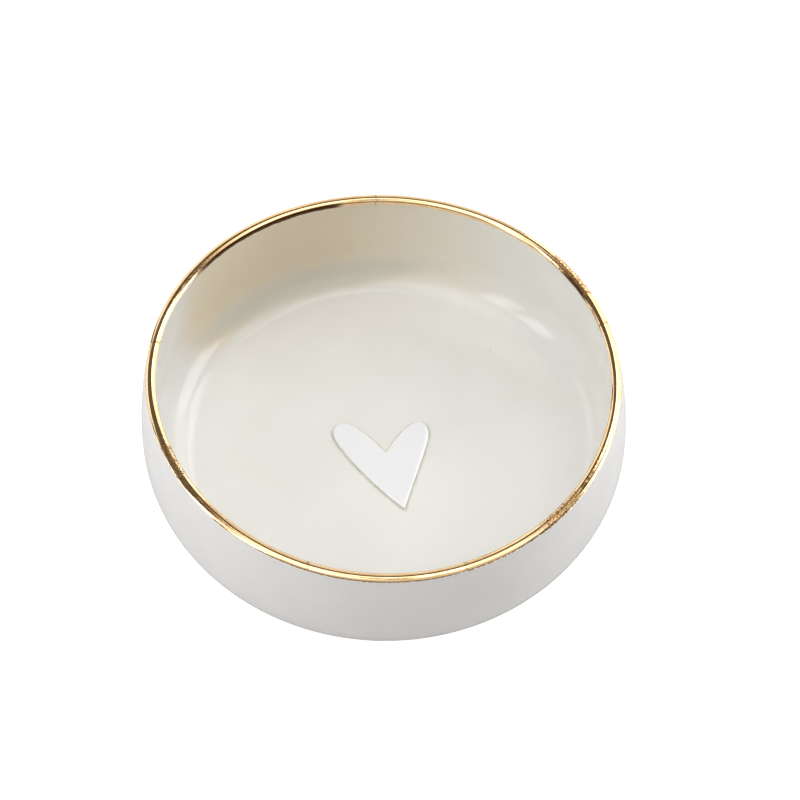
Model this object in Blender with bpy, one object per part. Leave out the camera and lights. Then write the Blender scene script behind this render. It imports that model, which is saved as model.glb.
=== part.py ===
"""Round ceramic trinket dish with a gilded lip and a raised white heart on its floor.

The clay body is one turned shape. Its half outline runs from the axis underneath, round the foot,
up the outside, over the lip, down the inside and back to the axis. Each fired coat is a stretch of
that same outline moved outwards: white glaze outside, cream glaze inside, clear-white glaze in the
recess under the foot, and a gold band over the lip. The heart is extruded from its own outline.
Origin: the centre of the foot's resting face. +Z is up, and -Y is the side that the heart points to.
"""

import math

import bmesh
import bpy
from mathutils import Vector
from mathutils.geometry import interpolate_bezier

MM = 0.001
SIDES = 48  # facets round each turned piece
MERGE = 0.001 * MM  # points closer than this are one point
SHARP_ANGLE = math.radians(35)

# Finished sizes, with every coat on.
HEIGHT = 36.2 * MM
RIM_RADIUS = 55.0 * MM  # outside of the gold at the lip
LIP_WIDTH = 2.5 * MM  # across the gilded lip
WIDEST_RADIUS = 57.3 * MM  # the wall bellies out below the lip
WIDEST_HEIGHT = 16.0 * MM
WALL_THICKNESS = 3.0 * MM  # where the wall is widest
CORNER_RADIUS = 12.5 * MM  # outside, from the wall to the underside
UNDERSIDE_SLOPE = 10.0  # degrees, between the foot and the outer corner
FLOOR_SLOPE = 6.0  # degrees, where the inner corner meets the floor
FLAT_RADIUS = 20.0 * MM  # the middle of the floor is level, and the heart lies there
FOOT_RADIUS = 35.0 * MM
FOOT_WIDTH = 3.2 * MM
FOOT_EDGE = 0.4 * MM  # chamfer on both edges of the resting face
RECESS_HEIGHT = 1.5 * MM  # clay above the table inside the foot
RECESS_FILLET = 0.8 * MM
DRY_FOOT = 0.8 * MM  # bare clay up the side of the foot

# Coats. AIR is the clearance that keeps one solid off the next.
AIR = 0.05 * MM
GLAZE = 0.30 * MM
GOLD = 0.15 * MM
HEART_RELIEF = 0.55 * MM
GOLD_DROP = 0.3 * MM  # how far the band reaches down each side of the wall below the lip's curve

# The heart seen from above, as (point, handle before, handle after), clockwise from the notch.
HEART = [
    ((0.5, -0.3), (-1.2, 1.8), (1.9, 2.6)),
    ((8.3, 8.6), (5.6, 8.5), (10.3, 8.7)),
    ((11.3, 4.3), (11.5, 6.6), (11.1, 1.0)),
    ((5.3, -17.2), (6.3, -12.5), (1.5, -14.8)),
    ((-12.7, 5.2), (-12.9, 0.9), (-12.6, 7.0)),
    ((-9.4, 8.15), (-11.4, 8.2), (-6.5, 8.1)),
]
HEART_STEPS = 9  # points along each of its curves
CORNER_STEPS = 6
WALL_STEPS = 3
FLOOR_STEPS = 3
LIP_STEPS = 7  # odd, so that the two glazes part at the crown of the lip

COLOURS = {  # linear base colour, roughness, metallic
    "bare_clay": ((0.72, 0.66, 0.57), 0.85, 0.0),
    "white_glaze": ((0.86, 0.86, 0.85), 0.18, 0.0),
    "cream_glaze": ((0.72, 0.69, 0.60), 0.12, 0.0),
    "gold_lustre": ((0.83, 0.57, 0.22), 0.18, 1.0),
    "white_enamel": ((0.88, 0.88, 0.90), 0.15, 0.0),
}

COAT = AIR + GLAZE
LIP_COAT = COAT + AIR + GOLD


def arc(centre, radius, start, end, steps):
    """Points (r, z) from angle start to angle end, in degrees from +r towards +z."""
    points = []
    for i in range(steps + 1):
        angle = math.radians(start + (end - start) * i / steps)
        points.append((centre[0] + radius * math.cos(angle), centre[1] + radius * math.sin(angle)))
    return points


def wall_side(side):
    """The wall from its widest place up to the lip, outside (+1) or inside (-1), and its lean.

    The last point but one is where the gold ends.
    """
    low_half = (WALL_THICKNESS - 2 * COAT) / 2
    lip_half = LIP_WIDTH / 2 - LIP_COAT
    low_middle = WIDEST_RADIUS - COAT - low_half
    lip_middle = RIM_RADIUS - LIP_WIDTH / 2
    rise = HEIGHT - LIP_WIDTH / 2 - WIDEST_HEIGHT
    shares = [i / WALL_STEPS * (1 - GOLD_DROP / rise) for i in range(WALL_STEPS + 1)] + [1.0]
    points = []
    for share in shares:
        middle = Vector((
            low_middle - (low_middle - lip_middle) * share**2,
            WIDEST_HEIGHT + rise * share,
        ))
        lean = math.atan(2 * (low_middle - lip_middle) * share / rise)
        half = low_half + (lip_half - low_half) * share
        points.append(tuple(middle + side * half * Vector((math.cos(lean), math.sin(lean)))))
    return points, math.degrees(lean)


def foot_outline():
    """The underside of the foot, from the axis to the top of the bare clay on its outer side."""
    inside = FOOT_RADIUS - FOOT_WIDTH
    return [
        (0.0, RECESS_HEIGHT),
        (inside - RECESS_FILLET, RECESS_HEIGHT),
        (inside, RECESS_HEIGHT - RECESS_FILLET),
        (inside, FOOT_EDGE),
        (inside + FOOT_EDGE, 0.0),
        (FOOT_RADIUS - FOOT_EDGE, 0.0),
        (FOOT_RADIUS, FOOT_EDGE),
        (FOOT_RADIUS, DRY_FOOT),
    ]


def clay_outline():
    """The clay's half outline, and the index at which each named stretch of it begins or ends."""
    corner = (WIDEST_RADIUS - CORNER_RADIUS, WIDEST_HEIGHT)
    outer_radius = CORNER_RADIUS - COAT
    inner_radius = CORNER_RADIUS - WALL_THICKNESS + COAT
    outer_corner = arc(corner, outer_radius, UNDERSIDE_SLOPE - 90, 0, CORNER_STEPS)
    inner_corner = arc(corner, inner_radius, 0, FLOOR_SLOPE - 90, CORNER_STEPS)
    slope_radius, slope_height = outer_corner[0]
    foot_top = slope_height - (slope_radius - FOOT_RADIUS) * math.tan(math.radians(UNDERSIDE_SLOPE))
    outside, lean = wall_side(1)
    inside, lean = wall_side(-1)
    lip_centre = (RIM_RADIUS - LIP_WIDTH / 2, HEIGHT - LIP_WIDTH / 2)
    lip = arc(lip_centre, LIP_WIDTH / 2 - LIP_COAT, lean, lean + 180, LIP_STEPS)

    points = foot_outline()
    marks = {"recess_edge": 1, "dry_foot": len(points) - 1}
    points += [(FOOT_RADIUS, foot_top)] + outer_corner[:-1] + outside[:-1]
    marks["gold_outside"] = len(points) - 1
    marks["crown"] = len(points) + LIP_STEPS // 2
    points += lip
    marks["gold_inside"] = len(points)
    points += inside[-2::-1] + inner_corner[1:]
    marks["floor_edge"] = len(points) - 1
    edge_radius, edge_height = points[-1]
    rim_of_floor = edge_radius - FLAT_RADIUS
    drop = math.tan(math.radians(FLOOR_SLOPE)) * rim_of_floor / 2
    for i in range(1, FLOOR_STEPS + 1):  # eases from the slope to level
        share = 1 - i / FLOOR_STEPS
        points.append((FLAT_RADIUS + rim_of_floor * share, edge_height - drop * (1 - share**2)))
    points.append((0.0, edge_height - drop))
    marks["axis"] = len(points) - 1
    return points, marks


def outward(points):
    """The outward unit normal at each point of the outline. On the axis it is vertical."""
    normals = []
    for i, (r, _) in enumerate(points):
        if r == 0.0:
            normals.append(Vector((0.0, -1.0 if i == 0 else 1.0)))
            continue
        before = (Vector(points[i]) - Vector(points[i - 1])).normalized()
        after = (Vector(points[i + 1]) - Vector(points[i])).normalized()
        along = before + after
        middle = Vector((along.y, -along.x)).normalized()
        normals.append(middle / middle.dot(Vector((after.y, -after.x))))
    return normals


def moved(points, normals, first, last, distance):
    """The stretch of the outline from first to last, moved outwards."""
    return [tuple(Vector(points[i]) + normals[i] * distance) for i in range(first, last + 1)]


def coat(outline, first, last, clearance, thickness):
    """The section of a coat on a stretch of the outline. One that reaches the axis starts there."""
    under = moved(*outline, first, last, clearance)
    over = moved(*outline, first, last, clearance + thickness)
    return over + under[::-1] if first == 0 else under[::-1] + over


def solid(name, shape, material_name):
    """A named object from a bmesh, with its material and smooth shading on its round parts."""
    bmesh.ops.recalc_face_normals(shape, faces=shape.faces)
    mesh = bpy.data.meshes.new(name)
    shape.to_mesh(mesh)
    shape.free()
    mesh.materials.append(bpy.data.materials[material_name])
    mesh.shade_smooth()
    mesh.set_sharp_from_angle(angle=SHARP_ANGLE)
    made = bpy.data.objects.new(name, mesh)
    bpy.context.scene.collection.objects.link(made)
    return made


def turned(name, section, material_name):
    """Turns a section (r, z) about the Z axis. One that starts on the axis also ends on it."""
    shape = bmesh.new()
    corners = [shape.verts.new((r, 0.0, z)) for r, z in section]
    for a, b in zip(corners, corners[1:]):
        shape.edges.new((a, b))
    if section[0][0] > 0.0:
        shape.edges.new((corners[-1], corners[0]))
    bmesh.ops.spin(
        shape,
        geom=shape.verts[:] + shape.edges[:],
        cent=(0, 0, 0),
        axis=(0, 0, 1),
        angle=math.tau,
        steps=SIDES,
        use_merge=True,
    )
    bmesh.ops.remove_doubles(shape, verts=shape.verts, dist=MERGE)
    return solid(name, shape, material_name)


def heart_outline():
    """The heart's outline as points, each of its curves divided evenly."""
    outline = []
    for (start, _, leaving), (end, arriving, _) in zip(HEART, HEART[1:] + HEART[:1]):
        corners = [Vector((x * MM, y * MM, 0.0)) for x, y in (start, leaving, arriving, end)]
        outline += interpolate_bezier(*corners, HEART_STEPS + 1)[:-1]
    return outline


def heart(floor_height):
    """The raised heart, extruded from its outline, on the level middle of the floor."""
    shape = bmesh.new()
    corners = [shape.verts.new((x, y, floor_height)) for x, y, _ in heart_outline()]
    shape.faces.new(corners)
    raised = bmesh.ops.extrude_face_region(shape, geom=shape.faces[:])["geom"]
    top = [v for v in raised if isinstance(v, bmesh.types.BMVert)]
    bmesh.ops.translate(shape, verts=top, vec=(0, 0, HEART_RELIEF))
    bmesh.ops.triangulate(shape, faces=shape.faces)
    solid("raised_heart", shape, "white_enamel")


def material(name, colour, roughness, metallic):
    made = bpy.data.materials.new(name)
    made.use_nodes = True
    shader = made.node_tree.nodes["Principled BSDF"]
    shader.inputs["Base Color"].default_value = (*colour, 1.0)
    shader.inputs["Roughness"].default_value = roughness
    shader.inputs["Metallic"].default_value = metallic
    made.diffuse_color = (*colour, 1.0)


def main():
    for old in list(bpy.data.objects):
        bpy.data.objects.remove(old)
    for name, (colour, roughness, metallic) in COLOURS.items():
        material(name, colour, roughness, metallic)

    points, marks = clay_outline()
    outline = (points, outward(points))
    turned("clay_body", points, "bare_clay")
    outer = coat(outline, marks["dry_foot"], marks["crown"], AIR, GLAZE)
    turned("outer_glaze", outer, "white_glaze")
    inner = coat(outline, marks["crown"] + 1, marks["axis"], AIR, GLAZE)
    turned("inner_glaze", inner, "cream_glaze")
    base = coat(outline, 0, marks["recess_edge"], AIR, GLAZE)
    turned("base_glaze", base, "white_glaze")
    band = coat(outline, marks["gold_outside"], marks["gold_inside"], COAT + AIR, GOLD)
    turned("gold_rim_band", band, "gold_lustre")
    heart(points[marks["axis"]][1] + COAT + AIR)


main()
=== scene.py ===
"""Looks for a round ceramic trinket dish, with a gilded lip and a raised white heart.

It is white outside and cream inside. Every turned piece but the glaze under the foot comes from one
half outline of the glazed dish, drawn point by point and spun about Z. A cage of control points
then gives all the pieces the same slight hand-made wobble.
"""

import math
import random

import bpy
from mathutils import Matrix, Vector


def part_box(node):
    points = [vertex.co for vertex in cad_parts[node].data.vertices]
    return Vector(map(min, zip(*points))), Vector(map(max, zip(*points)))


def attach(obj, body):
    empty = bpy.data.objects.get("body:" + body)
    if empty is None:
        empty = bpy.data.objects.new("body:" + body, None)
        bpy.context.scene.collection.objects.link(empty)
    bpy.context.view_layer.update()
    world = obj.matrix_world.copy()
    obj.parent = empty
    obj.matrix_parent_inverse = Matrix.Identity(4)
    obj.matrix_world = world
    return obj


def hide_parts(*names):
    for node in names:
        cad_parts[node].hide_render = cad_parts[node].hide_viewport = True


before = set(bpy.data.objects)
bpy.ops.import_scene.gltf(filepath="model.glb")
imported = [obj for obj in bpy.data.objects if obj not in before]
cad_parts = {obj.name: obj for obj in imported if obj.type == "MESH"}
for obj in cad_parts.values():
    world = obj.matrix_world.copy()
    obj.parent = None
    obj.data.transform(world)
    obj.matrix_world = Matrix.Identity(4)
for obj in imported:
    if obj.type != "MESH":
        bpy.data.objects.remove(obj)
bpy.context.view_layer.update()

MM = 0.001
SIDES = 240  # facets round the body and its glazes
GOLD_SIDES = 480  # the band's hand-painted edges need more
SMOOTH_ANGLE = math.radians(40)
MERGE = 0.0005 * MM

# Sizes that the frame gives.
outer_low, outer_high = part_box("outer_glaze")
base_low, base_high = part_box("base_glaze")
_, band_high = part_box("gold_rim_band")
heart_low, heart_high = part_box("raised_heart")
BAND_OVER_RIM = 0.1 * MM  # how far the frame's gold band stands above the glazed lip
WIDEST_RADIUS = outer_high.x
RIM_TOP = band_high.z - BAND_OVER_RIM
DRY_FOOT = outer_low.z
RECESS_RADIUS = base_high.x
RECESS_TOP = base_low.z
AIR = 0.05 * MM  # between one solid and the next, as in the frame
FLOOR_TOP = heart_low.z - AIR
HEART_TOP = heart_high.z

# Sizes of the potter's section that no box gives.
RIM_RADIUS = 54.95 * MM
LIP_HALF_WIDTH = 1.21 * MM
LIP_HALF_HEIGHT = 0.80 * MM  # the lip is a little flattened
WIDEST_HEIGHT = 16.0 * MM  # of the inside
OUTSIDE_LIFT = 1.0 * MM  # the outside is widest a little higher
WALL_THICKNESS = 3.0 * MM
CORNER_RADIUS = 12.5 * MM
UNDERSIDE_SLOPE = 10.0  # degrees
FLOOR_SLOPE = 6.0  # degrees
FLAT_RADIUS = 20.0 * MM
FOOT_RADIUS = 35.0 * MM
FOOT_WIDTH = 3.2 * MM
FOOT_EDGE = 0.4 * MM
RECESS_EDGE = 0.8 * MM
GLAZE = 0.30 * MM
GLAZE_ROLL = 0.12 * MM  # how far its dry edge bulges
GOLD_FILM = 0.03 * MM
GOLD_OUTSIDE = 0.15 * MM  # below the middle of the lip, before the brush's unevenness
GOLD_INSIDE = 0.60 * MM
SHOULDER = 0.25 * MM  # above the middle of the lip, where the unevenness starts
BRUSH_MARKS = [("broad", 7 * MM, 0.55 * MM), ("fine", 1.3 * MM, 0.55 * MM)]  # name, size, depth

# How far the potter's hands left the rim from a true circle.
CAGE_HALF = 62.0 * MM
CAGE_OVAL = -0.60 * MM
CAGE_THREE = 0.50 * MM
HAND_JITTER = 0.16 * MM

# The raised heart.
HEART_SHIFT = -0.6 * MM  # painted a little nearer the front than in the frame
HEART_SWELL = 1.25  # height before smoothing sinks it
HEART_VOXEL = 0.14 * MM
HEART_ROLL = 70  # passes of smoothing
ENAMEL_INSET = 0.24 * MM  # from the middle of the drawn line
LINE_HALF = 0.20 * MM

# The heart from above, in mm, clockwise from the notch: (point, handle before, handle after).
HEART = [
    ((0.5, -0.3), (-1.2, 1.8), (1.9, 2.6)),
    ((8.3, 8.6), (5.6, 8.5), (10.3, 8.7)),
    ((11.3, 4.3), (11.5, 6.6), (11.1, 1.0)),
    ((5.3, -17.2), (6.3, -12.5), (1.5, -14.8)),
    ((-12.7, 5.2), (-12.9, 0.9), (-12.6, 7.0)),
    ((-9.4, 8.15), (-11.4, 8.2), (-6.5, 8.1)),
]


# ---------------------------------------------------------------- the dish's outline


def arc(centre, radius, start, end, steps):
    """Points (r, z) from angle start to angle end, in degrees from +r towards +z."""
    points = []
    for i in range(steps + 1):
        angle = math.radians(start + (end - start) * i / steps)
        points.append((centre[0] + radius * math.cos(angle), centre[1] + radius * math.sin(angle)))
    return points


def wall_side(side, steps):
    """The wall from its widest place up to the lip, outside (+1) or inside (-1)."""
    low_half = WALL_THICKNESS / 2
    low_middle = WIDEST_RADIUS - low_half
    lip_middle = RIM_RADIUS - LIP_HALF_WIDTH
    start = WIDEST_HEIGHT + (OUTSIDE_LIFT if side > 0 else 0.0)
    rise = RIM_TOP - LIP_HALF_HEIGHT - start
    points = []
    for i in range(steps + 1):
        share = i / steps
        lean = math.atan(2 * (low_middle - lip_middle) * share / rise)
        half = low_half + (LIP_HALF_WIDTH - low_half) * share
        middle = low_middle - (low_middle - lip_middle) * share**2
        height = start + rise * share
        across = side * half
        level = 1 - share**4  # the lip's two sides stand at one height
        points.append((middle + across * math.cos(lean), height + across * math.sin(lean) * level))
    return points


def dish_outline():
    """Half outline of the glazed dish, and the index where each of its stretches begins or ends."""
    inside = (WIDEST_RADIUS - CORNER_RADIUS, WIDEST_HEIGHT)
    outside = (WIDEST_RADIUS - CORNER_RADIUS, WIDEST_HEIGHT + OUTSIDE_LIFT)
    outer_corner = arc(outside, CORNER_RADIUS, UNDERSIDE_SLOPE - 90, 0, 20)
    inner_corner = arc(inside, CORNER_RADIUS - WALL_THICKNESS, 0, FLOOR_SLOPE - 90, 20)
    slope_radius, slope_height = outer_corner[0]
    reach = slope_radius - FOOT_RADIUS
    foot_top = slope_height - reach * math.tan(math.radians(UNDERSIDE_SLOPE))
    lip_middle = RIM_RADIUS - LIP_HALF_WIDTH
    squash = LIP_HALF_HEIGHT / LIP_HALF_WIDTH
    lip = [
        (r, RIM_TOP - LIP_HALF_HEIGHT + z * squash)
        for r, z in arc((lip_middle, 0.0), LIP_HALF_WIDTH, 0, 180, 24)
    ]
    # Up the foot, and round the corner that the glaze half fills, to the underside's slope.
    points = [(FOOT_RADIUS, DRY_FOOT), (FOOT_RADIUS, (DRY_FOOT + foot_top) / 2)]
    points += [(FOOT_RADIUS + 0.25 * MM, foot_top - 0.1 * MM)]
    points += [(FOOT_RADIUS + 1.0 * MM, foot_top + 0.15 * MM)]
    for share in (0.3, 0.55, 0.8):
        points.append((FOOT_RADIUS + reach * share, foot_top + (slope_height - foot_top) * share))
    points += outer_corner[:-1] + wall_side(1, 16)[:-1]
    marks = {"crown": len(points) + len(lip) // 2, "lip_outside": len(points)}
    points += lip
    marks["lip_inside"] = len(points) - 1
    points += wall_side(-1, 16)[-2::-1] + inner_corner[1:]
    edge_radius, edge_height = points[-1]
    ease = edge_radius - FLAT_RADIUS
    drop = edge_height - FLOOR_TOP
    for i in range(1, 9):
        share = 1 - i / 8
        points.append((FLAT_RADIUS + ease * share, edge_height - drop * (1 - share**2)))
    points += [(FLAT_RADIUS * share, FLOOR_TOP) for share in (0.75, 0.5, 0.25, 0.0)]
    marks["axis"] = len(points) - 1
    return points, marks


def outward(points):
    """The outward unit normal at each point of a half outline."""
    normals = []
    for i, (r, _) in enumerate(points):
        before = Vector(points[i]) - Vector(points[max(i - 1, 0)])
        after = Vector(points[min(i + 1, len(points) - 1)]) - Vector(points[i])
        if r == 0.0:
            normals.append(Vector((0.0, 1.0)))
            continue
        along = before.normalized() + after.normalized()
        normals.append(Vector((along.y, -along.x)).normalized())
    return normals


def moved(outline, first, last, distance):
    """A stretch of the outline, moved outwards."""
    points, normals = outline
    return [tuple(Vector(points[i]) + normals[i] * distance) for i in range(first, last + 1)]


# ---------------------------------------------------------------- modelling by hand


def deselect():
    bpy.ops.object.select_all(action="DESELECT")


def draw(name, points):
    """A vertex in the XZ plane, extruded from point to point."""
    deselect()
    x, z = points[0]
    bpy.ops.mesh.primitive_plane_add(size=MM, location=(x, 0, z))
    piece = bpy.context.active_object
    piece.name = name
    bpy.ops.object.mode_set(mode="EDIT")
    bpy.ops.mesh.merge(type="CENTER")
    for (x0, z0), (x1, z1) in zip(points, points[1:]):
        bpy.ops.mesh.extrude_region_move(TRANSFORM_OT_translate={"value": (x1 - x0, 0, z1 - z0)})
    bpy.ops.object.mode_set(mode="OBJECT")
    bpy.ops.object.transform_apply(location=True, rotation=True, scale=True)
    return piece


def turn(name, points, sides=SIDES):
    """Draws a section and spins it about Z."""
    piece = draw(name, points)
    bpy.ops.object.mode_set(mode="EDIT")
    bpy.ops.mesh.select_all(action="SELECT")
    bpy.ops.mesh.spin(steps=sides, angle=math.tau, center=(0, 0, 0), axis=(0, 0, 1))
    bpy.ops.mesh.select_all(action="SELECT")
    bpy.ops.mesh.remove_doubles(threshold=MERGE)
    bpy.ops.mesh.normals_make_consistent(inside=False)
    bpy.ops.object.mode_set(mode="OBJECT")
    return piece


def apply_modifier(piece, kind, **settings):
    """Adds a modifier, sets it and applies it."""
    bpy.context.view_layer.objects.active = piece
    modifier = piece.modifiers.new(kind.title(), kind)
    for key, value in settings.items():
        setattr(modifier, key, value)
    bpy.ops.object.modifier_apply(modifier=modifier.name)


def smooth(piece):
    deselect()
    piece.select_set(True)
    bpy.context.view_layer.objects.active = piece
    bpy.ops.object.shade_smooth_by_angle(angle=SMOOTH_ANGLE)


def hand_made_cage():
    """A cage of control points that bends the rim as a potter's hands leave it. The foot is true."""
    deselect()
    bpy.ops.object.add(type="LATTICE", location=(0, 0, RIM_TOP / 2))
    cage = bpy.context.active_object
    cage.name = "hand_made_cage"
    cage.scale = (2 * CAGE_HALF, 2 * CAGE_HALF, RIM_TOP)
    cage.data.points_u, cage.data.points_v, cage.data.points_w = 9, 9, 3
    chance = random.Random(7)
    for point in cage.data.points:
        height = point.co.z + 0.5
        angle = math.atan2(point.co.y, point.co.x)
        swell = CAGE_OVAL * math.sin(2 * angle) + CAGE_THREE * math.sin(3 * angle)
        stretch = 1 + swell / RIM_RADIUS * height
        jitter = [chance.uniform(-1, 1) * HAND_JITTER * height for _ in range(2)]
        point.co_deform.x = point.co.x * stretch + jitter[0] / (2 * CAGE_HALF)
        point.co_deform.y = point.co.y * stretch + jitter[1] / (2 * CAGE_HALF)
    return cage


# ---------------------------------------------------------------- the pieces


def glaze_section(outline, first, last):
    """A coat that lies on the clay between two points of the outline."""
    over = moved(outline, first, last, 0.0)
    under = moved(outline, first, last, -GLAZE)
    if over[-1][0] == 0.0:
        return under[::-1] + over
    middle = (Vector(over[0]) + Vector(under[0])) / 2
    rounded = tuple(middle + Vector((0, -GLAZE_ROLL)))
    return under[::-1] + [rounded] + over + [under[-1]]


def make_outer_glaze(outline, marks):
    return turn("outer_glaze_fine", glaze_section(outline, 0, marks["crown"]))


def make_inner_glaze(outline, marks):
    return turn("inner_glaze_fine", glaze_section(outline, marks["crown"] + 1, marks["axis"]))


def make_base_glaze():
    """The glaze that pools in the recess inside the foot, with a rounded edge."""
    edge = RECESS_RADIUS
    top = base_high.z
    middle = (top + RECESS_TOP) / 2
    section = [(0.0, top), (edge * 0.5, top), (edge, top)]
    section.append((edge + 0.04 * MM, middle + 0.05 * MM))
    section.append((edge - 0.1 * MM, RECESS_TOP + 0.05 * MM))
    section += [(edge - 0.4 * MM, RECESS_TOP), (edge * 0.5, RECESS_TOP), (0.0, RECESS_TOP)]
    return turn("base_glaze_fine", section)


def make_clay_body(outline, marks):
    """The fired body under the coats. It shows only at the foot."""
    inside = FOOT_RADIUS - FOOT_WIDTH
    recess = base_high.z + AIR
    hollow = inside - RECESS_EDGE
    foot = [(0.0, recess), (hollow, recess)]
    foot += arc((hollow, recess - RECESS_EDGE), RECESS_EDGE, 90, 0, 6)[1:]
    foot += arc((inside + FOOT_EDGE, FOOT_EDGE), FOOT_EDGE, 180, 270, 5)
    foot += arc((FOOT_RADIUS - FOOT_EDGE, FOOT_EDGE), FOOT_EDGE, 270, 360, 5)
    foot += [(FOOT_RADIUS, DRY_FOOT - AIR), (FOOT_RADIUS - GLAZE - AIR, DRY_FOOT - AIR)]
    body = moved(outline, 1, marks["axis"], -GLAZE - AIR)
    body[-1] = (0.0, body[-1][1])
    return turn("clay_body_fine", foot + body)


def make_gold_band(outline, marks):
    """Lustre brushed over the lip: a thin film whose edges wander up and down the wall."""
    first = marks["lip_outside"] - 1
    last = marks["lip_inside"] + 1
    lip = moved(outline, marks["lip_outside"], marks["lip_inside"], 0.0)
    lip_middle = RIM_TOP - LIP_HALF_HEIGHT
    outer_step = (Vector(moved(outline, first, first, 0.0)[0]) - Vector(lip[0])).normalized()
    inner_step = (Vector(moved(outline, last, last, 0.0)[0]) - Vector(lip[-1])).normalized()
    reach = [0.2, 0.4, 0.6, 0.8, 1.0]
    down_outside = [tuple(Vector(lip[0]) + outer_step * GOLD_OUTSIDE * d) for d in reach[::-1]]
    down_inside = [tuple(Vector(lip[-1]) + inner_step * GOLD_INSIDE * d) for d in reach]
    band = turn("gold_band_fine", down_outside + lip + down_inside, GOLD_SIDES)
    guide = turn("lip_guide", moved(outline, first - 2, last + 2, 0.0), GOLD_SIDES)
    edge = band.vertex_groups.new(name="brushed_edge")
    for vertex in band.data.vertices:
        depth = (lip_middle + SHOULDER - vertex.co.z) / (GOLD_OUTSIDE + SHOULDER)
        if depth > 0:
            edge.add([vertex.index], min(1.0, depth), "REPLACE")
    for name, scale, strength in BRUSH_MARKS:
        texture = bpy.data.textures.new(f"{name}_brush_marks", "CLOUDS")
        texture.noise_scale = scale
        texture.noise_depth = 1
        apply_modifier(
            band,
            "DISPLACE",
            texture=texture,
            direction="Z",
            strength=strength,
            vertex_group=edge.name,
        )
    apply_modifier(
        band,
        "SHRINKWRAP",
        target=guide,
        wrap_method="NEAREST_SURFACEPOINT",
        wrap_mode="ABOVE_SURFACE",
        offset=0.01 * MM,
    )
    bpy.data.objects.remove(guide)
    apply_modifier(band, "SOLIDIFY", thickness=GOLD_FILM, offset=1.0, use_even_offset=True)
    return band


def heart_curve(name):
    """The heart's outline, drawn on the floor: a circle with two more points, moved one by one."""
    deselect()
    bpy.ops.curve.primitive_bezier_circle_add(radius=10 * MM, location=(0, HEART_SHIFT, FLOOR_TOP))
    drawn = bpy.context.active_object
    drawn.name = name
    for first in (0, 2):
        bpy.ops.object.mode_set(mode="EDIT")
        bpy.ops.curve.select_all(action="DESELECT")
        points = drawn.data.splines[0].bezier_points
        for point in points[first : first + 2]:
            point.select_control_point = True
        bpy.ops.curve.subdivide(number_cuts=1)
        bpy.ops.object.mode_set(mode="OBJECT")
    for point, (place, before, after) in zip(drawn.data.splines[0].bezier_points, HEART):
        point.handle_left_type = "FREE"
        point.handle_right_type = "FREE"
        point.co = Vector((*place, 0)) * MM
        point.handle_left = Vector((*before, 0)) * MM
        point.handle_right = Vector((*after, 0)) * MM
    drawn.data.resolution_u = 24
    return drawn


def make_heart():
    """Raised enamel: the filled outline, remeshed finely and smoothed until its edge rolls over."""
    heart = heart_curve("raised_heart_fine")
    heart.data.dimensions = "2D"
    heart.data.fill_mode = "BOTH"
    heart.data.extrude = (HEART_TOP - FLOOR_TOP) * HEART_SWELL
    heart.data.offset = -ENAMEL_INSET
    bpy.ops.object.convert(target="MESH")
    heart = bpy.context.active_object
    bpy.ops.object.transform_apply(location=True, rotation=True, scale=True)
    apply_modifier(heart, "REMESH", mode="VOXEL", voxel_size=HEART_VOXEL)
    apply_modifier(heart, "SMOOTH", factor=0.5, iterations=HEART_ROLL)
    bpy.ops.object.mode_set(mode="EDIT")
    bpy.ops.mesh.select_all(action="SELECT")
    bpy.ops.mesh.bisect(
        plane_co=(0, 0, FLOOR_TOP + 0.01 * MM),
        plane_no=(0, 0, 1),
        use_fill=True,
        clear_inner=True,
        threshold=MERGE,
    )
    bpy.ops.object.mode_set(mode="OBJECT")
    return heart


def make_heart_line():
    """The fine raised line that the painter drew round the heart first, coloured darker also as
    painted shade in the crevice at the heart's foot.
    """
    line = heart_curve("heart_line")
    line.data.dimensions = "3D"
    line.data.bevel_depth = LINE_HALF
    line.data.bevel_resolution = 2
    bpy.ops.object.convert(target="MESH")
    line = bpy.context.active_object
    bpy.ops.object.transform_apply(location=True, rotation=True, scale=True)
    return line


# ---------------------------------------------------------------- materials

# Pinholes: one chance of a hole in each cell.
PINHOLE_SPACING = 9 * MM
PINHOLES_MISSING = 0.62  # the share of the cells that have none
PINHOLE_EDGE = (0.022, 0.012)  # of the spacing

# Painted shade, tinted warm, high on the side of the wall that faces away from the lights, in degrees
# round the axis from +X: where it fades in and out.
PAINTED_SHADE_START = (40.0, 112.0)
PAINTED_SHADE_END = (160.0, 136.0)
PAINTED_SHADE_DRIFT = 40.0  # how far the clouds move it
PAINTED_SHADE_RADII = (47.5 * MM, 52.0 * MM)

# Painted shade in the corner at the foot of the wall, on the side away from the lights.
CORNER_SHADE_ANGLE = 110.0
CORNER_SHADE_SPREAD = 42.0
CORNER_SHADE_DIP = 7 * MM  # how far it draws back to the wall, one spread away
CORNER_SHADE_RADII = (46.0 * MM, 49.5 * MM)
CORNER_SHADE_HEIGHTS = (15.0 * MM, 9.5 * MM)

# The gold, in degrees round the axis from +X: where strokes meet, then (middle, half width).
BRUSH_OVERLAPS = [-108.0, -70.5, 16.0, 92.0, 147.5, 170.0]
DRY_PATCHES = [(-153.0, 4.0), (-43.0, 5.0), (33.0, 6.0)]
# Painted shade, nearly black, on the gold's inner lower edge.
SHADED_INNER_EDGES = [(124.0, 20.0), (30.0, 3.0)]
FULL_INSIDE = (80.0, 62.0)  # the brush went right down the lip's inside
TOOTHED_EDGE = (-60.0, 11.0)  # the brush was nearly dry


def add_node(tree, kind, inputs=(), **settings):
    """A node with its settings, and with values or links on its inputs, by name or number."""
    node = tree.nodes.new(kind)
    for key, value in settings.items():
        setattr(node, key, value)
    for key, value in dict(inputs).items():
        if isinstance(value, bpy.types.NodeSocket):
            tree.links.new(value, node.inputs[key])
        else:
            node.inputs[key].default_value = value
    return node


def maths(tree, operation, *values, clamp=False):
    node = add_node(tree, "ShaderNodeMath", enumerate(values), operation=operation)
    node.use_clamp = clamp
    return node.outputs[0]


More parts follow.
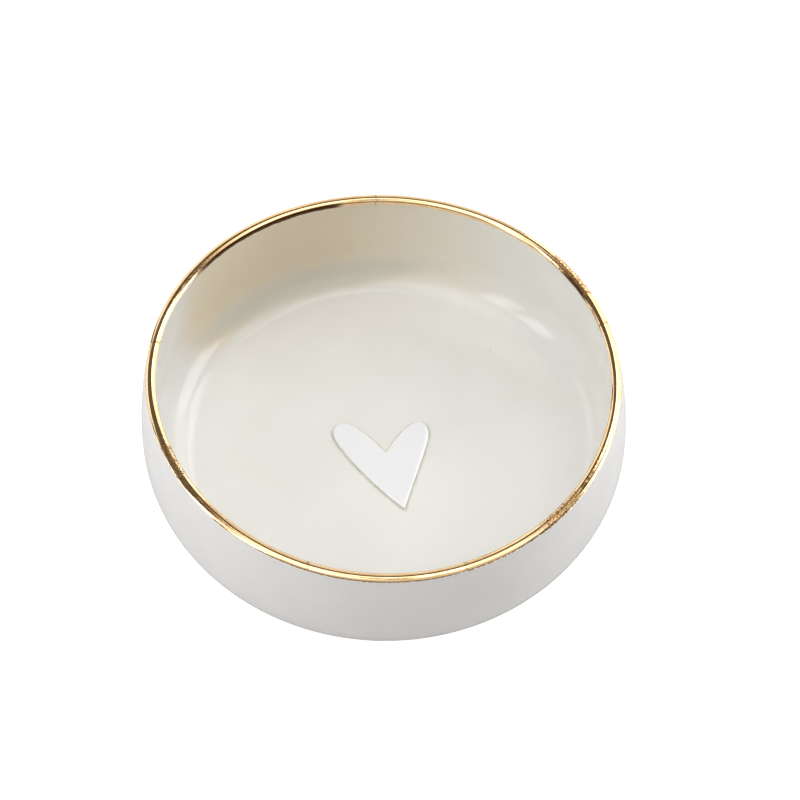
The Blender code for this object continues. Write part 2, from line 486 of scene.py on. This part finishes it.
def remap(tree, value, low, high, to_low=0.0, to_high=1.0):
    """A smooth ramp from low to high."""
    node = add_node(
        tree,
        "ShaderNodeMapRange",
        {"Value": value, "From Min": low, "From Max": high, "To Min": to_low, "To Max": to_high},
        interpolation_type="SMOOTHSTEP",
    )
    return node.outputs["Result"]


def noise(tree, position, size, detail=2.0, roughness=0.5):
    """Noise whose features are about that size, in metres."""
    node = add_node(
        tree,
        "ShaderNodeTexNoise",
        {"Vector": position, "Scale": 1 / size, "Detail": detail, "Roughness": roughness},
    )
    return node.outputs["Fac"]


def mix(tree, share, first, second):
    node = add_node(tree, "ShaderNodeMix", data_type="RGBA")
    for socket, value in zip((node.inputs[0], node.inputs[6], node.inputs[7]), (share, first, second)):
        if isinstance(value, bpy.types.NodeSocket):
            tree.links.new(value, socket)
        elif isinstance(value, float):
            socket.default_value = value
        else:
            socket.default_value = (*value, 1.0)
    return node.outputs[2]


def new_group(name, inputs, outputs):
    """An empty node group with sockets given as (name, kind) pairs."""
    group = bpy.data.node_groups.new(name, "ShaderNodeTree")
    for socket, kind in inputs:
        group.interface.new_socket(socket, in_out="INPUT", socket_type=f"NodeSocket{kind}")
    for socket, kind in outputs:
        group.interface.new_socket(socket, in_out="OUTPUT", socket_type=f"NodeSocket{kind}")
    start = group.nodes.new("NodeGroupInput")
    end = group.nodes.new("NodeGroupOutput")
    return group, start.outputs, end.inputs


def fired_glaze_group():
    """How a poured glaze lies once fired: pale clouds, a slow ripple and a few pinholes."""
    group, given, made = new_group(
        "fired_glaze",
        [("Position", "Vector"), ("Ripple", "Float"), ("Pinholes", "Float")],
        [("Clouds", "Float"), ("Pinhole", "Float"), ("Height", "Float")],
    )
    place = given["Position"]
    clouds = noise(group, place, 22 * MM, 3.0)
    ripple = noise(group, place, 9 * MM, 1.0)
    fine = noise(group, place, 1.6 * MM, 2.0)
    scatter = {"Vector": place, "Scale": 1 / PINHOLE_SPACING, "Randomness": 1.0}
    cells = add_node(group, "ShaderNodeTexVoronoi", scatter)
    lot = add_node(group, "ShaderNodeSeparateColor", {0: cells.outputs["Color"]}).outputs[0]
    chosen = maths(group, "GREATER_THAN", lot, PINHOLES_MISSING)
    hole = remap(group, cells.outputs["Distance"], *PINHOLE_EDGE)
    hole = maths(group, "MULTIPLY", maths(group, "MULTIPLY", hole, chosen), given["Pinholes"])
    waves = maths(group, "MULTIPLY", ripple, given["Ripple"])
    waves = maths(group, "ADD", waves, maths(group, "MULTIPLY", fine, 0.03))
    group.links.new(clouds, made["Clouds"])
    group.links.new(hole, made["Pinhole"])
    height = maths(group, "SUBTRACT", waves, maths(group, "MULTIPLY", hole, 0.5))
    group.links.new(height, made["Height"])
    return group


def round_the_axis_group():
    """Where a point is on a turned piece: its angle in degrees from +X, its radius and its height."""
    group, given, made = new_group(
        "round_the_axis",
        [("Position", "Vector")],
        [("Angle", "Float"), ("Radius", "Float"), ("Height", "Float")],
    )
    parts = add_node(group, "ShaderNodeSeparateXYZ", {0: given["Position"]}).outputs
    angle = maths(group, "ARCTAN2", parts[1], parts[0])
    group.links.new(maths(group, "MULTIPLY", angle, 180 / math.pi), made["Angle"])
    across = [maths(group, "POWER", part, 2.0) for part in (parts[0], parts[1])]
    squares = maths(group, "ADD", *across)
    group.links.new(maths(group, "SQRT", squares), made["Radius"])
    group.links.new(parts[2], made["Height"])
    return group


def new_material(name, roughness, metallic=0.0):
    """A material with one Principled shader. What is the same all over is set on its sockets."""
    material = bpy.data.materials.new(name)
    material.use_nodes = True
    tree = material.node_tree
    shader = tree.nodes["Principled BSDF"]
    shader.inputs["Roughness"].default_value = roughness
    shader.inputs["Metallic"].default_value = metallic
    place = tree.nodes.new("ShaderNodeTexCoord").outputs["Object"]
    return material, tree, shader, place


def use_group(tree, group, inputs):
    return add_node(tree, "ShaderNodeGroup", inputs, node_tree=group).outputs


def bump(tree, shader, height, distance):
    node = add_node(tree, "ShaderNodeBump", {"Height": height, "Distance": distance, "Strength": 1.0})
    tree.links.new(node.outputs[0], shader.inputs["Normal"])


def white_glaze(glaze):
    material, tree, shader, place = new_material("white_glaze", 0.14)
    coat = use_group(tree, glaze, {"Position": place, "Ripple": 0.5, "Pinholes": 0.4})
    cloudy = remap(tree, coat["Clouds"], 0.35, 0.65)
    colour = mix(tree, cloudy, (0.782, 0.777, 0.763), (0.812, 0.807, 0.793))
    colour = mix(tree, coat["Pinhole"], colour, (0.45, 0.42, 0.38))
    tree.links.new(colour, shader.inputs["Base Color"])
    bump(tree, shader, coat["Height"], 0.05 * MM)
    return material


def cream_glaze(glaze, axis):
    """Pale cream, with painted shade, tinted warm, high on one side of the wall, and painted shade in
    the corner below it.
    """
    material, tree, shader, place = new_material("cream_glaze", 0.13)
    coat = use_group(tree, glaze, {"Position": place, "Ripple": 0.5, "Pinholes": 1.0})
    where = use_group(tree, axis, {"Position": place})
    # Painted shade: a warm, darker tone high on the side of the wall away from the lights.
    drift = maths(tree, "MULTIPLY", maths(tree, "SUBTRACT", coat["Clouds"], 0.5), PAINTED_SHADE_DRIFT)
    angle = maths(tree, "ADD", where["Angle"], drift)
    rising = remap(tree, angle, *PAINTED_SHADE_START)
    falling = remap(tree, angle, *PAINTED_SHADE_END)
    wall = remap(tree, where["Radius"], *PAINTED_SHADE_RADII)
    painted_shade = maths(tree, "MULTIPLY", maths(tree, "MULTIPLY", rising, falling), wall)
    # Painted shade in the corner where the wall meets the floor: widest at one angle, drawing back to
    # the wall either side.
    off = maths(tree, "DIVIDE", maths(tree, "SUBTRACT", angle, CORNER_SHADE_ANGLE), CORNER_SHADE_SPREAD)
    dip = maths(tree, "MULTIPLY", maths(tree, "POWER", maths(tree, "ABSOLUTE", off), 2.0), CORNER_SHADE_DIP)
    reach = maths(tree, "SUBTRACT", where["Radius"], dip)
    low = remap(tree, where["Height"], *CORNER_SHADE_HEIGHTS)
    corner_shade = maths(tree, "MULTIPLY", remap(tree, reach, *CORNER_SHADE_RADII), low)
    cloudy = remap(tree, coat["Clouds"], 0.35, 0.65)
    colour = mix(tree, cloudy, (0.79, 0.788, 0.752), (0.815, 0.814, 0.785))
    # Painted shade, tinted warm, high on the wall.
    colour = mix(tree, painted_shade, colour, (0.79, 0.69, 0.525))
    # Painted shade in that corner.
    colour = mix(tree, corner_shade, colour, (0.675, 0.65, 0.565))
    colour = mix(tree, coat["Pinhole"], colour, (0.45, 0.40, 0.33))
    tree.links.new(colour, shader.inputs["Base Color"])
    bump(tree, shader, coat["Height"], 0.05 * MM)
    return material


def white_enamel(glaze):
    """Thin at its edge, where the cream shows through, and white where it is thick."""
    material, tree, shader, place = new_material("white_enamel", 0.04)
    shader.inputs["Specular IOR Level"].default_value = 0.85
    coat = use_group(tree, glaze, {"Position": place, "Ripple": 0.6, "Pinholes": 0.0})
    level = add_node(tree, "ShaderNodeSeparateXYZ", {0: place}).outputs[2]
    thick = remap(tree, level, FLOOR_TOP + 0.10 * MM, HEART_TOP - 0.12 * MM)
    colour = mix(tree, thick, (0.74, 0.735, 0.66), (0.86, 0.87, 0.90))
    tree.links.new(colour, shader.inputs["Base Color"])
    brushed = maths(tree, "MULTIPLY", noise(tree, place, 0.7 * MM), 0.35)
    bump(tree, shader, maths(tree, "ADD", coat["Height"], brushed), 0.04 * MM)
    return material


def heart_line_and_crevice_shade():
    # Olive grey: partly the drawn line's own colour, partly painted shade of the crevice round the
    # heart.
    material, tree, shader, place = new_material("heart_line_and_crevice_shade", 0.35)
    shade = noise(tree, place, 2.5 * MM)
    colour = mix(tree, remap(tree, shade, 0.35, 0.65), (0.69, 0.685, 0.565), (0.78, 0.775, 0.68))
    tree.links.new(colour, shader.inputs["Base Color"])
    return material


def near_angle(tree, angle, centre, half, soft):
    """1 within half of the centre, in degrees round the axis, and 0 past half + soft."""
    away = maths(tree, "ABSOLUTE", maths(tree, "SUBTRACT", angle, centre))
    return remap(tree, away, half + soft, half)


def any_of(tree, masks):
    """The greatest of several masks."""
    total = masks[0]
    for mask in masks[1:]:
        total = maths(tree, "MAXIMUM", total, mask)
    return total


def facing_out(tree, place):
    """How far a face looks away from the axis: 1 outside, 0 on the crown and -1 inside."""
    normal = tree.nodes.new("ShaderNodeNewGeometry").outputs["Normal"]
    flat = {0: place, 1: (1.0, 1.0, 0.0)}
    flat_place = add_node(tree, "ShaderNodeVectorMath", flat, operation="MULTIPLY").outputs[0]
    ray = add_node(tree, "ShaderNodeVectorMath", {0: flat_place}, operation="NORMALIZE").outputs[0]
    both = {0: normal, 1: ray}
    return add_node(tree, "ShaderNodeVectorMath", both, operation="DOT_PRODUCT").outputs["Value"]


def unpainted(tree, place, angle, facing):
    """1 where the brush left the glaze bare, low on the lip's two sides, with a ragged edge."""
    toothed = near_angle(tree, angle, *TOOTHED_EDGE, 6.0)
    depth = maths(tree, "ADD", maths(tree, "MULTIPLY", toothed, 0.8), 0.4)
    grain = maths(tree, "SUBTRACT", noise(tree, place, 0.7 * MM, 3.0, 0.6), 0.5)
    edge = maths(tree, "ADD", facing, maths(tree, "MULTIPLY", grain, depth))
    stopped_short = maths(tree, "SUBTRACT", 1.0, near_angle(tree, angle, *FULL_INSIDE, 8.0))
    inside = maths(tree, "MULTIPLY", remap(tree, edge, -0.80, -0.93), stopped_short)
    return any_of(tree, [inside, remap(tree, edge, 0.80, 0.92)])


def gold_lustre(axis):
    """Gold laid on with a brush: overlap lines, dry patches and a brown fringe, with painted shade on
    the inner lower edge at the back.
    """
    material, tree, shader, place = new_material("gold_lustre", 0.12, 1.0)
    where = use_group(tree, axis, {"Position": place})
    facing = facing_out(tree, place)
    wander = maths(tree, "SUBTRACT", noise(tree, place, 1.0 * MM), 0.5)
    angle = maths(tree, "ADD", where["Angle"], maths(tree, "MULTIPLY", wander, 1.6))

    dry = any_of(tree, [near_angle(tree, angle, at, half, 3.0) for at, half in DRY_PATCHES])
    speckle = remap(tree, noise(tree, place, 0.45 * MM, 3.0, 0.65), 0.46, 0.58)
    dry = maths(tree, "MULTIPLY", dry, speckle)
    # Painted shade on the inner lower edge of the gold, at the back.
    inner_edge_shade = any_of(tree, [near_angle(tree, angle, at, half, 4.0) for at, half in SHADED_INNER_EDGES])
    inner_edge_shade = maths(tree, "MULTIPLY", inner_edge_shade, remap(tree, facing, -0.45, -0.75))
    overlaps = any_of(tree, [near_angle(tree, angle, at, 0.18, 0.4) for at in BRUSH_OVERLAPS])
    broken = remap(tree, noise(tree, place, 0.9 * MM), 0.38, 0.6)
    overlaps = maths(tree, "MULTIPLY", overlaps, broken)
    # Darker where strokes overlap, where the brush ran dry, and where shade is painted on the inner
    # edge.
    dark = any_of(tree, [maths(tree, "MULTIPLY", overlaps, 0.75), dry, inner_edge_shade])
    bare = unpainted(tree, place, angle, facing)
    painted = maths(tree, "SUBTRACT", 1.0, bare)
    fringe = maths(tree, "MULTIPLY", maths(tree, "MULTIPLY", bare, painted), 2.6)

    shade = remap(tree, noise(tree, place, 5 * MM, 3.0), 0.35, 0.65)
    colour = mix(tree, shade, (0.90, 0.60, 0.31), (0.94, 0.68, 0.39))
    colour = mix(tree, dark, colour, (0.24, 0.12, 0.035))
    # Painted shade, nearly black, on that inner edge.
    colour = mix(tree, inner_edge_shade, colour, (0.09, 0.035, 0.01))
    colour = mix(tree, fringe, colour, (0.48, 0.23, 0.07))
    colour = mix(tree, bare, colour, (0.82, 0.80, 0.76))
    tree.links.new(colour, shader.inputs["Base Color"])
    tree.links.new(painted, shader.inputs["Metallic"])
    rough = remap(tree, noise(tree, place, 1.2 * MM, 3.0), 0.40, 0.75, 0.05, 0.16)
    rough = maths(tree, "ADD", rough, maths(tree, "MULTIPLY", dark, 0.2))
    tree.links.new(rough, shader.inputs["Roughness"])
    height = maths(tree, "ADD", noise(tree, place, 0.7 * MM, 2.0), dark)
    bump(tree, shader, height, 0.008 * MM)
    return material


def bare_clay():
    """Fired, unglazed and slightly sandy."""
    material, tree, shader, place = new_material("bare_clay", 0.85)
    sand = noise(tree, place, 0.35 * MM, 4.0, 0.7)
    patches = noise(tree, place, 6 * MM, 3.0)
    colour = mix(tree, remap(tree, patches, 0.3, 0.7), (0.62, 0.55, 0.46), (0.74, 0.68, 0.60))
    tree.links.new(colour, shader.inputs["Base Color"])
    bump(tree, shader, sand, 0.12 * MM)
    return material


# ---------------------------------------------------------------- floor, light and camera

FLOOR_COLOUR = (0.715, 0.71, 0.705, 1.0)
FLOOR_GLOW = 0.85
FLOOR_RADIUS = 3.0
FLOOR_DROP = 0.02 * MM  # so that the foot's face doesn't coincide with it

DISH_CENTRE = Vector((0, 0, 20 * MM))
LIGHT_DISTANCE = 1.0
COOL = (0.91, 0.99, 1.13)
SOFTBOXES = [
    # name, azimuth, elevation, wide, tall (degrees), radiance
    ("right_back_low", 52, 8, 70, 22, 1.85),
    ("right_back_high", 38, 33, 44, 24, 1.9),
    ("right_high", 74, 32, 32, 26, 3.3),
    ("right_back_top", 31, 53, 40, 10, 3.1),
    ("back_left", -26, 18, 34, 40, 1.1),
    ("back_low", 4, 9, 26, 20, 1.2),
    ("back_middle", 3, 33, 24, 26, 0.65),
    ("left_side", -60, 16, 24, 36, 1.25),
    ("left_front_near", -103, 27, 13, 36, 3.8),
    ("left_front_far", -122, 32, 13, 36, 3.7),
    ("top_left", -112, 71, 80, 26, 1.65),
    ("top_right", 92, 71, 60, 30, 1.6),
    ("top_front", 180, 62, 130, 44, 0.66),
    ("top_back", 0, 77, 100, 20, 1.75),
    ("front_fill", 180, 30, 100, 20, 0.19),
    ("left_card", -94, 3, 34, 12, 3.4, COOL),
    ("right_card", 94, 3, 28, 12, 4.5, COOL),
]
SKY_GLOW = (0.135, 0.118, 0.10)

CAMERA_ELEVATION = math.radians(54.24)
CAMERA_DISTANCE = 512.9 * MM
CAMERA_SHIFT = (0.0204, -0.0291)
AIM = Vector((0, 0, RIM_TOP - 1.0 * MM))


def make_floor():
    """A white sweep. It looks pure white, and lights the dish's underside less than it looks."""
    deselect()
    bpy.ops.mesh.primitive_circle_add(
        vertices=128, radius=FLOOR_RADIUS, fill_type="NGON", location=(0, 0, -FLOOR_DROP)
    )
    floor = bpy.context.active_object
    floor.name = "white_floor"
    material, tree, shader, _ = new_material("white_floor", 0.7)
    shader.inputs["Base Color"].default_value = FLOOR_COLOUR
    shader.inputs["Specular IOR Level"].default_value = 0.0
    shader.inputs["Emission Color"].default_value = (1.0, 1.0, 1.0, 1.0)
    seen = tree.nodes.new("ShaderNodeLightPath").outputs["Is Camera Ray"]
    tree.links.new(maths(tree, "MULTIPLY", seen, FLOOR_GLOW), shader.inputs["Emission Strength"])
    floor.data.materials.append(material)


def softbox(name, azimuth, elevation, wide, tall, radiance, colour=(1.0, 1.0, 1.0)):
    """A rectangular light that faces the dish, its place and its size as angles seen from there.

    Azimuth 0 is behind the dish and 90 is to its right.
    """
    a = math.radians(azimuth)
    e = math.radians(elevation)
    direction = Vector((math.sin(a) * math.cos(e), math.cos(a) * math.cos(e), math.sin(e)))
    bpy.ops.object.light_add(type="AREA", location=DISH_CENTRE + direction * LIGHT_DISTANCE)
    lamp = bpy.context.active_object
    lamp.name = name
    lamp.rotation_euler = direction.to_track_quat("Z", "Y").to_euler()
    width = 2 * LIGHT_DISTANCE * math.tan(math.radians(wide / 2)) * math.cos(e)
    height = 2 * LIGHT_DISTANCE * math.tan(math.radians(tall / 2))
    lamp.data.shape = "RECTANGLE"
    lamp.data.size = width
    lamp.data.size_y = height
    lamp.data.energy = radiance * math.pi * width * height
    lamp.data.color = colour


def make_light():
    world = bpy.data.worlds.new("studio")
    bpy.context.scene.world = world
    world.use_nodes = True
    tree = world.node_tree
    seen = tree.nodes.new("ShaderNodeLightPath").outputs["Is Camera Ray"]
    sky_colour = mix(tree, seen, SKY_GLOW, (1.0, 1.0, 1.0))
    tree.links.new(sky_colour, tree.nodes["Background"].inputs["Color"])
    for box in SOFTBOXES:
        softbox(*box)


def make_camera():
    back = Vector((0, -math.cos(CAMERA_ELEVATION), math.sin(CAMERA_ELEVATION)))
    bpy.ops.object.camera_add(location=AIM + back * CAMERA_DISTANCE)
    camera = bpy.context.active_object
    camera.name = "camera"
    camera.rotation_euler = (math.pi / 2 - CAMERA_ELEVATION, 0, 0)
    camera.data.lens = 100
    camera.data.sensor_width = 36
    camera.data.shift_x, camera.data.shift_y = CAMERA_SHIFT
    camera.data.clip_start = 0.01
    camera.data.clip_end = 50
    bpy.context.scene.camera = camera
    bpy.context.scene.view_settings.view_transform = "Standard"


# ---------------------------------------------------------------- the whole


def put(piece, material, slot, *nodes):
    """Finishes a piece: its material, its body, and the CAD nodes that it stands for. The slot is not
    used.
    """
    piece.data.materials.clear()
    piece.data.materials.append(material)
    smooth(piece)
    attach(piece, "root")
    if nodes:
        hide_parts(*nodes)


def shape_dish():
    """The seven pieces in their final shapes."""
    points, marks = dish_outline()
    outline = (points, outward(points))
    pieces = [
        make_clay_body(outline, marks),
        make_outer_glaze(outline, marks),
        make_inner_glaze(outline, marks),
        make_base_glaze(),
        make_gold_band(outline, marks),
        make_heart(),
        make_heart_line(),
    ]
    cage = hand_made_cage()
    for piece in pieces:
        apply_modifier(piece, "LATTICE", object=cage)
    bpy.data.objects.remove(cage)
    return pieces


def dress_dish(pieces):
    """Gives each piece its material and the node that it stands for."""
    clay, outer, inner, base, band, heart, line = pieces
    glaze = fired_glaze_group()
    axis = round_the_axis_group()
    white = white_glaze(glaze)
    put(clay, bare_clay(), "bare_clay", "clay_body")
    put(outer, white, "white_glaze", "outer_glaze")
    put(inner, cream_glaze(glaze, axis), "cream_glaze", "inner_glaze")
    put(base, white, "white_glaze", "base_glaze")
    put(band, gold_lustre(axis), "gold_lustre", "gold_rim_band")
    put(heart, white_enamel(glaze), "white_enamel", "raised_heart")
    put(line, heart_line_and_crevice_shade(), "white_enamel")


dress_dish(shape_dish())
make_floor()
make_light()
make_camera()
